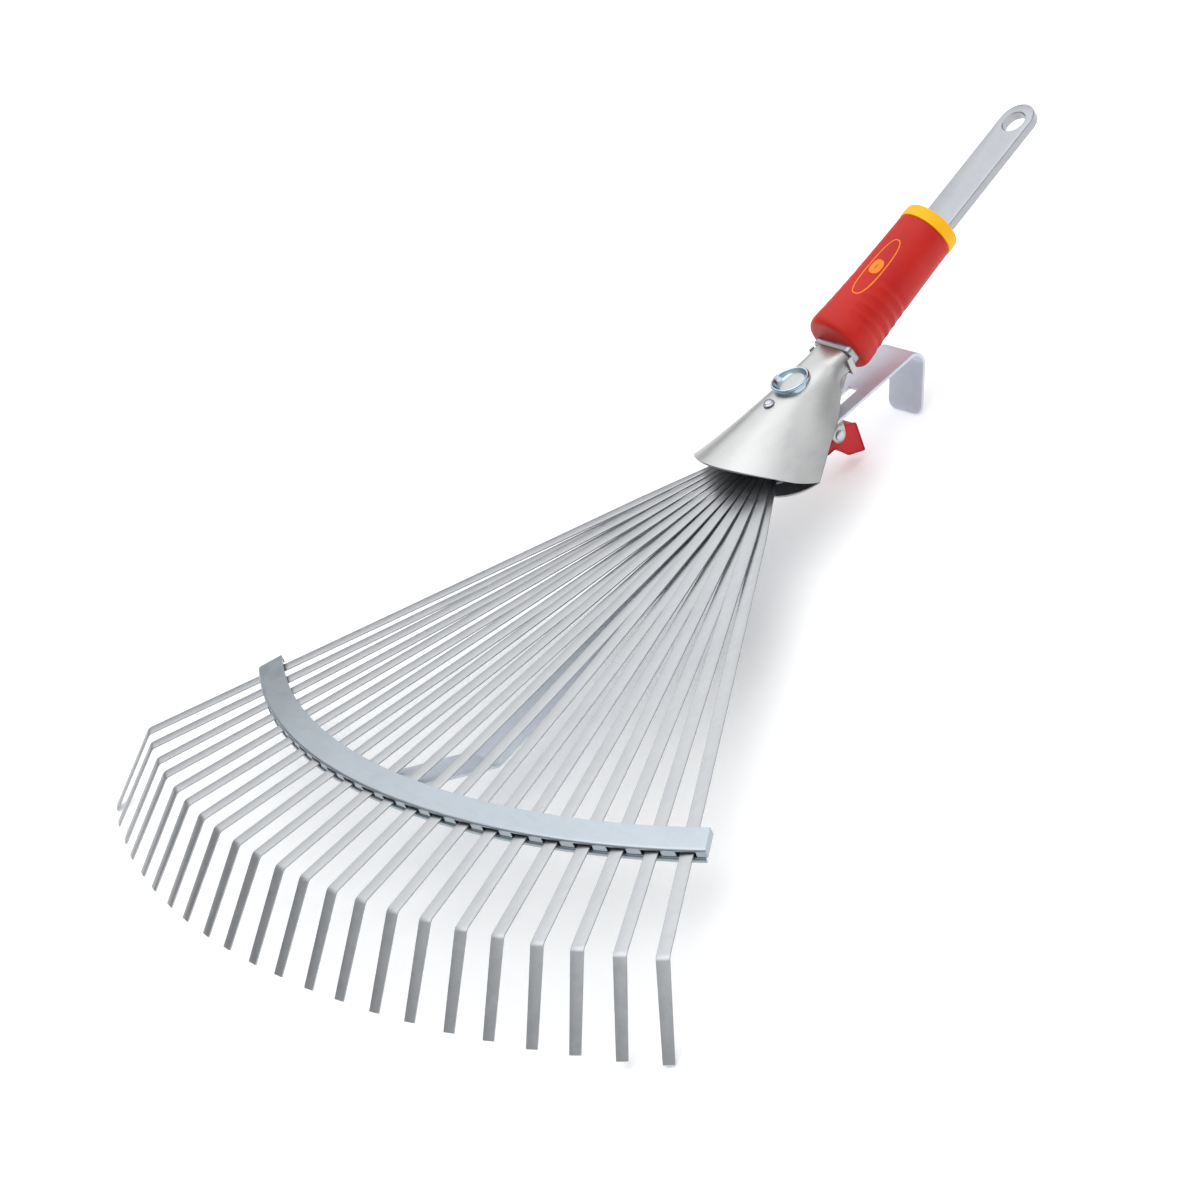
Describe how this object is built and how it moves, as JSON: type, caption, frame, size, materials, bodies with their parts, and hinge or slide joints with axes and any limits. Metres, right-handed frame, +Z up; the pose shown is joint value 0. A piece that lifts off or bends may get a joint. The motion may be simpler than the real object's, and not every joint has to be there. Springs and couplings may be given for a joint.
{
  "type": "leaf rake",
  "caption": "Adjustable leaf rake head with flat bent spring tines fanned from a sheet steel hood, a sliding spreader bar, a cam latch and a flat tang carrying a cylindrical plastic sleeve.",
  "frame": {"origin": "centre of the footprint, on the floor under the head", "axes": "+Y towards the tang's free end, along the head; +X across the fan of tines; +Z up, away from the floor the tine tips rest on"},
  "size_m": [0.5265, 0.706, 0.1052],
  "materials": {
    "galvanised_steel": "satin",
    "spring_steel": "satin",
    "plated_steel": "satin",
    "polished_steel": "gloss",
    "red_plastic": "satin",
    "yellow_plastic": "satin",
    "latch_plastic": "satin"
  },
  "bodies": {
    "head": {"tang": "plated_steel", "ferrule": "plated_steel", "sleeve": "red_plastic", "collar": "yellow_plastic", "hood_top": "galvanised_steel", "hood_back": "galvanised_steel", "neck_band": "galvanised_steel", "cup_rivet": "polished_steel", "front_rivet": "galvanised_steel", "hub_spacer": "galvanised_steel", "front_spacer": "galvanised_steel", "root_plate_upper": "galvanised_steel", "root_plate_lower": "galvanised_steel", "pack_spacer": "galvanised_steel", "latch_pin": "galvanised_steel", "latch_cheek_left": "galvanised_steel", "latch_cheek_right": "galvanised_steel"},
    "slider": {"draw_strap": "galvanised_steel", "spreader_top": "galvanised_steel", "spreader_bottom": "galvanised_steel", "foot_rivet_left": "galvanised_steel", "foot_rivet_right": "galvanised_steel"},
    "lever": {"latch_lever": "latch_plastic"},
    "spring_01": {"tine_01": "spring_steel"},
    "spring_02": {"tine_02": "spring_steel"},
    "spring_03": {"tine_03": "spring_steel"},
    "spring_04": {"tine_04": "spring_steel"},
    "spring_05": {"tine_05": "spring_steel"},
    "spring_06": {"tine_06": "spring_steel"},
    "spring_07": {"tine_07": "spring_steel"},
    "spring_08": {"tine_08": "spring_steel"},
    "spring_09": {"tine_09": "spring_steel"},
    "spring_10": {"tine_10": "spring_steel"},
    "spring_11": {"tine_11": "spring_steel"},
    "spring_12": {"tine_12": "spring_steel"},
    "spring_13": {"tine_13": "spring_steel"},
    "spring_14": {"tine_14": "spring_steel"},
    "spring_15": {"tine_15": "spring_steel"},
    "spring_16": {"tine_16": "spring_steel"},
    "spring_17": {"tine_17": "spring_steel"},
    "spring_18": {"tine_18": "spring_steel"},
    "spring_19": {"tine_19": "spring_steel"},
    "spring_20": {"tine_20": "spring_steel"},
    "spring_21": {"tine_21": "spring_steel"},
    "spring_22": {"tine_22": "spring_steel"}
  },
  "joints": [
    {"name": "spread_slide", "type": "slide", "parent": "head", "child": "slider", "axis": [0, -0.9989, 0.0471], "range_m": [0, 0.035]},
    {"name": "latch_swing", "type": "hinge", "parent": "head", "child": "lever", "pos_m": [0, 0.1259, 0.02951], "axis": [1, 0, 0], "range_deg": [-24, 0]},
    {"name": "tine_01_turn", "type": "hinge", "parent": "head", "child": "spring_01", "pos_m": [-0.01945, 0.06896, 0.05091], "axis": [-0.1151, 0.0436, 0.9924], "range_deg": [0, 3.54]},
    {"name": "tine_02_turn", "type": "hinge", "parent": "head", "child": "spring_02", "pos_m": [-0.01782, 0.06778, 0.04856], "axis": [-0.1012, 0.0502, 0.9936], "range_deg": [0, 3.25]},
    {"name": "tine_03_turn", "type": "hinge", "parent": "head", "child": "spring_03", "pos_m": [-0.01613, 0.06692, 0.05101], "axis": [-0.0951, 0.0434, 0.9945], "range_deg": [0, 2.95]},
    {"name": "tine_04_turn", "type": "hinge", "parent": "head", "child": "spring_04", "pos_m": [-0.01438, 0.06592, 0.04865], "axis": [-0.0813, 0.0506, 0.9954], "range_deg": [0, 2.63]},
    {"name": "tine_05_turn", "type": "hinge", "parent": "head", "child": "spring_05", "pos_m": [-0.01257, 0.06526, 0.05109], "axis": [-0.0739, 0.0433, 0.9963], "range_deg": [0, 2.31]},
    {"name": "tine_06_turn", "type": "hinge", "parent": "head", "child": "spring_06", "pos_m": [-0.01072, 0.06447, 0.04872], "axis": [-0.0604, 0.0508, 0.9969], "range_deg": [0, 1.97]},
    {"name": "tine_07_turn", "type": "hinge", "parent": "head", "child": "spring_07", "pos_m": [-0.00883, 0.06402, 0.05115], "axis": [-0.0518, 0.0432, 0.9977], "range_deg": [0, 1.63]},
    {"name": "tine_08_turn", "type": "hinge", "parent": "head", "child": "spring_08", "pos_m": [-0.0069, 0.06344, 0.04877], "axis": [-0.0388, 0.051, 0.9979], "range_deg": [0, 1.28]},
    {"name": "tine_09_turn", "type": "hinge", "parent": "head", "child": "spring_09", "pos_m": [-0.00495, 0.06321, 0.05118], "axis": [-0.029, 0.0431, 0.9987], "range_deg": [0, 0.92]},
    {"name": "tine_10_turn", "type": "hinge", "parent": "head", "child": "spring_10", "pos_m": [-0.00298, 0.06287, 0.0488], "axis": [-0.0167, 0.0511, 0.9986], "range_deg": [0, 0.57]},
    {"name": "tine_11_turn", "type": "hinge", "parent": "head", "child": "spring_11", "pos_m": [-0.00099, 0.06287, 0.0512], "axis": [-0.0058, 0.0431, 0.9991], "range_deg": [0, 0.21]},
    {"name": "tine_12_turn", "type": "hinge", "parent": "head", "child": "spring_12", "pos_m": [0.00099, 0.06275, 0.0488], "axis": [0.0056, 0.0512, 0.9987], "range_deg": [-0.21, 0]},
    {"name": "tine_13_turn", "type": "hinge", "parent": "head", "child": "spring_13", "pos_m": [0.00298, 0.06298, 0.05119], "axis": [0.0174, 0.0431, 0.9989], "range_deg": [-0.57, 0]},
    {"name": "tine_14_turn", "type": "hinge", "parent": "head", "child": "spring_14", "pos_m": [0.00495, 0.0631, 0.04879], "axis": [0.0278, 0.0511, 0.9983], "range_deg": [-0.92, 0]},
    {"name": "tine_15_turn", "type": "hinge", "parent": "head", "child": "spring_15", "pos_m": [0.0069, 0.06356, 0.05117], "axis": [0.0405, 0.0431, 0.9982], "range_deg": [-1.28, 0]},
    {"name": "tine_16_turn", "type": "hinge", "parent": "head", "child": "spring_16", "pos_m": [0.00883, 0.0639, 0.04875], "axis": [0.0497, 0.0509, 0.9975], "range_deg": [-1.63, 0]},
    {"name": "tine_17_turn", "type": "hinge", "parent": "head", "child": "spring_17", "pos_m": [0.01072, 0.06458, 0.05112], "axis": [0.063, 0.0432, 0.9971], "range_deg": [-1.97, 0]},
    {"name": "tine_18_turn", "type": "hinge", "parent": "head", "child": "spring_18", "pos_m": [0.01257, 0.06514, 0.04869], "axis": [0.071, 0.0507, 0.9962], "range_deg": [-2.31, 0]},
    {"name": "tine_19_turn", "type": "hinge", "parent": "head", "child": "spring_19", "pos_m": [0.01438, 0.06604, 0.05105], "axis": [0.0847, 0.0433, 0.9955], "range_deg": [-2.63, 0]},
    {"name": "tine_20_turn", "type": "hinge", "parent": "head", "child": "spring_20", "pos_m": [0.01613, 0.0668, 0.04861], "axis": [0.0914, 0.0504, 0.9945], "range_deg": [-2.95, 0]},
    {"name": "tine_21_turn", "type": "hinge", "parent": "head", "child": "spring_21", "pos_m": [0.01782, 0.06789, 0.05096], "axis": [0.1053, 0.0435, 0.9935], "range_deg": [-3.25, 0]},
    {"name": "tine_22_turn", "type": "hinge", "parent": "head", "child": "spring_22", "pos_m": [0.01945, 0.06884, 0.04852], "axis": [0.1107, 0.05, 0.9926], "range_deg": [-3.54, 0]}
  ],
  "couplings": [
    {"joint": "tine_01_turn", "follows": "spread_slide", "rad_per_m": 1.7545},
    {"joint": "tine_02_turn", "follows": "spread_slide", "rad_per_m": 1.6095},
    {"joint": "tine_03_turn", "follows": "spread_slide", "rad_per_m": 1.4579},
    {"joint": "tine_04_turn", "follows": "spread_slide", "rad_per_m": 1.3004},
    {"joint": "tine_05_turn", "follows": "spread_slide", "rad_per_m": 1.1375},
    {"joint": "tine_06_turn", "follows": "spread_slide", "rad_per_m": 0.9701},
    {"joint": "tine_07_turn", "follows": "spread_slide", "rad_per_m": 0.7989},
    {"joint": "tine_08_turn", "follows": "spread_slide", "rad_per_m": 0.6246},
    {"joint": "tine_09_turn", "follows": "spread_slide", "rad_per_m": 0.4478},
    {"joint": "tine_10_turn", "follows": "spread_slide", "rad_per_m": 0.2694},
    {"joint": "tine_11_turn", "follows": "spread_slide", "rad_per_m": 0.0899},
    {"joint": "tine_12_turn", "follows": "spread_slide", "rad_per_m": -0.0899},
    {"joint": "tine_13_turn", "follows": "spread_slide", "rad_per_m": -0.2694},
    {"joint": "tine_14_turn", "follows": "spread_slide", "rad_per_m": -0.4478},
    {"joint": "tine_15_turn", "follows": "spread_slide", "rad_per_m": -0.6246},
    {"joint": "tine_16_turn", "follows": "spread_slide", "rad_per_m": -0.7989},
    {"joint": "tine_17_turn", "follows": "spread_slide", "rad_per_m": -0.9701},
    {"joint": "tine_18_turn", "follows": "spread_slide", "rad_per_m": -1.1375},
    {"joint": "tine_19_turn", "follows": "spread_slide", "rad_per_m": -1.3004},
    {"joint": "tine_20_turn", "follows": "spread_slide", "rad_per_m": -1.4579},
    {"joint": "tine_21_turn", "follows": "spread_slide", "rad_per_m": -1.6095},
    {"joint": "tine_22_turn", "follows": "spread_slide", "rad_per_m": -1.7545}
  ]
}
